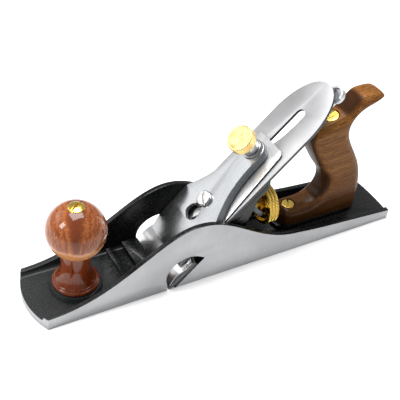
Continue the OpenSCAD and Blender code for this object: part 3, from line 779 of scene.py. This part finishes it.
def make_depth_wheel(brass):
    """Knurled wheel with three ridges, a dished front and the groove of the yoke."""
    joint = JOINTS["depth_turn"]
    low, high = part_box("depth_wheel")
    radius, centre_z = (high.y - low.y) / 2, (low.z + high.z) / 2
    place = stand_on((1, 0, 0), (low.x, joint["pos_m"][1], centre_z))
    length = high.x - low.x
    hub, neck, groove = 0.009, 0.0065, 0.0036
    ridges, pitch, ridge = 3, 0.003, 0.0009
    groove_end = length - 0.0025
    groove_start = groove_end - groove
    profile = [(STUD_BORE, 0.003), (radius - 0.0042, 0.003), (radius - 0.0036, 0.0026),
               (radius - 0.003, 0.0001)]
    for i in range(ridges):
        foot = pitch * i
        profile += [(radius - ridge, foot), (radius - 0.0002, foot + 0.0006), (radius, foot + 0.001),
                    (radius, foot + 0.0020), (radius - 0.0002, foot + 0.0024)]
    back = ridges * pitch
    profile += [(radius - ridge, back), (radius - 0.0025, back), (radius - 0.0032, back - 0.0004),
                (radius - 0.004, 0.0062), (radius - 0.0046, 0.006), (hub + 0.0006, 0.006), (hub, 0.0066),
                (hub, groove_start), (neck, groove_start), (neck, groove_end), (hub, groove_end),
                (hub, length - 0.0004), (hub - 0.0004, length), (STUD_BORE, length)]
    teeth = knurl(0.0004, WHEEL_TEETH, radius - 0.0005)
    wheel = lathe("depth_wheel_finished", profile, WHEEL_TEETH * 5, teeth)
    wheel.matrix_world = place
    finish_piece(wheel, "depth_wheel", brass)


def shorten_shank(shank):
    """The shank ends inside the brass head, whose face is closed."""
    end_zone, drop = 0.001, 0.0016
    end = max(vertex.co.dot(BED_OFF) for vertex in shank.data.vertices)
    for vertex in shank.data.vertices:
        if vertex.co.dot(BED_OFF) > end - end_zone:
            vertex.co -= BED_OFF * drop


def make_metal_parts():
    """Copies of the CAD parts that get rounded edges and their own finish. Returns the brass."""
    nickel = brushed_metal("satin_nickel", (0.37, 0.378, 0.388), 0.25, ALONG_BED, -BED_ANGLE)
    blade = brushed_metal("blade_steel", (0.41, 0.41, 0.417), 0.5, ACROSS_BED, -BED_ANGLE, cloud=0.07)
    polished = brushed_metal("breaker_steel", (0.66, 0.66, 0.665), 0.3, ALONG_BED, -BED_ANGLE, cloud=0.03)
    lever = brushed_metal("lever_steel", (0.6, 0.62, 0.65), 0.36, (0.0005, 0.0005, 0.012), -BED_ANGLE)
    yoke_iron = brushed_metal("yoke_iron", (0.2, 0.205, 0.21), 0.5, (0.001, 0.001, 0.001), marks=0.0001)
    screw_steel = turned_metal("screw_steel", (0.55, 0.555, 0.56), 0.26, 0.3)
    frog_japan = japanned_iron("japanned_frog")
    brass = turned_metal("turned_brass", (0.85, 0.6, 0.14), 0.2, 0.3)
    cap = softened("lever_cap", nickel, 0.0005, 3)
    # The cap's walls get a dark blue-grey finish that also paints the shade on them.
    cap.data.materials.append(dark_wall_and_shade("cap_wall_and_shade", (0.16, 0.175, 0.185)))
    dark_and_shaded_wall_faces(cap, 1, CAP_SHADED_WALL_FROM)
    iron = softened("iron", blade, 0.00025)
    breaker = softened("chipbreaker", polished, 0.0003)
    # The edges of the blade and breaker get a near-black finish that also paints the shade along them.
    dark_edge_and_shade = dark_wall_and_shade("blade_edge_and_shade", (0.06, 0.062, 0.065))
    for piece in (iron, breaker):
        piece.data.materials.append(dark_edge_and_shade)
        dark_and_shaded_wall_faces(piece, 1)
    softened("lateral_lever", lever, 0.0003)
    softened("frog", frog_japan, 0.0006)
    softened("yoke", yoke_iron, 0.0003)
    for node in ("tote_nut", "tote_screw"):
        softened(node, brass, 0.00022)
    shorten_shank(softened("thumbscrew_shank", screw_steel, 0.0002))
    for node in ("lever_cap_screw", "lateral_pivot", "lateral_roller", "chipbreaker_screw",
                 "frog_screws", "frog_washers", "frog_adjusting_screw", "frog_clip", "frog_clip_screw",
                 "depth_stud", "yoke_pin", "knob_stud", "tote_rod"):
        softened(node, screw_steel, 0.0002)
    return brass


# ---- Studio ----

def make_floor():
    half = 4
    corners = [(-half, -half, 0), (half, -half, 0), (half, half, 0), (-half, half, 0)]
    floor = mesh_object("floor", corners, [(0, 1, 2, 3)])
    shader = Shader("pale_floor", (0.9, 0.9, 0.9), 0.7)
    mottle = shader.noise(shader.stretched((0.3, 0.3, 0.3)), detail=2)
    shader.set("Base Color", shader.mix(shader.rise(mottle, 0.3, 0.7), (0.9, 0.9, 0.9), (0.93, 0.93, 0.93)))
    floor.data.materials.append(shader.material)


def area_light(name, place, aim, size, power):
    data = bpy.data.lights.new(name, "AREA")
    data.shape = "RECTANGLE"
    data.size, data.size_y = size
    data.energy = power
    light = bpy.data.objects.new(name, data)
    bpy.context.scene.collection.objects.link(light)
    light.location = place
    light.rotation_mode = "QUATERNION"
    light.rotation_quaternion = (Vector(aim) - Vector(place)).to_track_quat("-Z", "Y")


def make_lights():
    """A pale room with a soft light overhead, a small one before the toe and a wide one to its right."""
    world = bpy.data.worlds.new("studio")
    world.use_nodes = True
    background = world.node_tree.nodes["Background"]
    background.inputs["Color"].default_value = (1, 1, 1, 1)
    background.inputs["Strength"].default_value = 0.4
    bpy.context.scene.world = world
    area_light("overhead", (0.0, -0.2, 1.4), (0, 0, 0.05), (1.0, 0.8), 30)
    area_light("window", (1.05, -0.05, 0.75), (0.1, 0, 0.05), (0.3, 0.4), 7)
    area_light("back_panel", (0.79, -0.74, 0.62), (0, 0, 0.08), (0.8, 0.6), 3)


def make_camera():
    """The viewpoint that the object is shown from, with its slight roll."""
    data = bpy.data.cameras.new("camera")
    data.lens = 70.84
    camera = bpy.data.objects.new("camera", data)
    bpy.context.scene.collection.objects.link(camera)
    place = Vector((0.2867, 0.3865, 0.4503))
    target = Vector((0.0217, 0.0001, 0.0578))
    roll = math.radians(7.98)
    back = (place - target).normalized()
    right = Vector((0, 0, 1)).cross(back).normalized()
    up = back.cross(right)
    rolled = right * math.cos(roll) + up * math.sin(roll)
    raised = up * math.cos(roll) - right * math.sin(roll)
    turn = Matrix((rolled, raised, back)).transposed().to_4x4()
    camera.matrix_world = Matrix.Translation(place) @ turn
    data.clip_start, data.clip_end = 0.01, 50
    data.dof.use_dof = False
    bpy.context.scene.camera = camera


bpy.context.scene.view_settings.view_transform = "Standard"
make_camera()
make_lights()
make_floor()
brass = make_metal_parts()
make_casting()
make_knob()
make_knob_nut(brass)
make_tote(walnut("oiled_walnut"))
make_thumbscrew_head(turned_metal("spun_brass", (0.84, 0.64, 0.27), 0.22, 0.95))
make_depth_wheel(brass)
